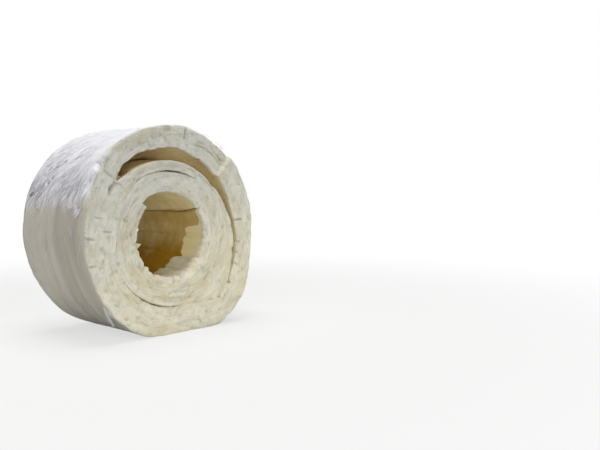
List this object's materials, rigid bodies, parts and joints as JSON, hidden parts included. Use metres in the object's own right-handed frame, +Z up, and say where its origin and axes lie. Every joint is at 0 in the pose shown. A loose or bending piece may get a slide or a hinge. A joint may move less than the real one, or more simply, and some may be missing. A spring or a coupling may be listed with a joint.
{
  "type": "insulation roll",
  "caption": "Short roll of soft ceramic fibre blanket lying on its side, with an open bore, spiral turns on its ends and a loose outer turn, unrolled to line kilns and furnaces.",
  "frame": {"origin": "middle of the roll's footprint, on the floor that it lies on", "axes": "+Y along the roll's axis from the front end to the back end, +X to the right seen from the front end, +Z up"},
  "size_m": [0.269, 0.15, 0.27],
  "materials": {
    "fibre_blanket": "matt, fibrous"
  },
  "bodies": {
    "root": {"blanket_roll": "fibre_blanket"}
  },
  "joints": []
}
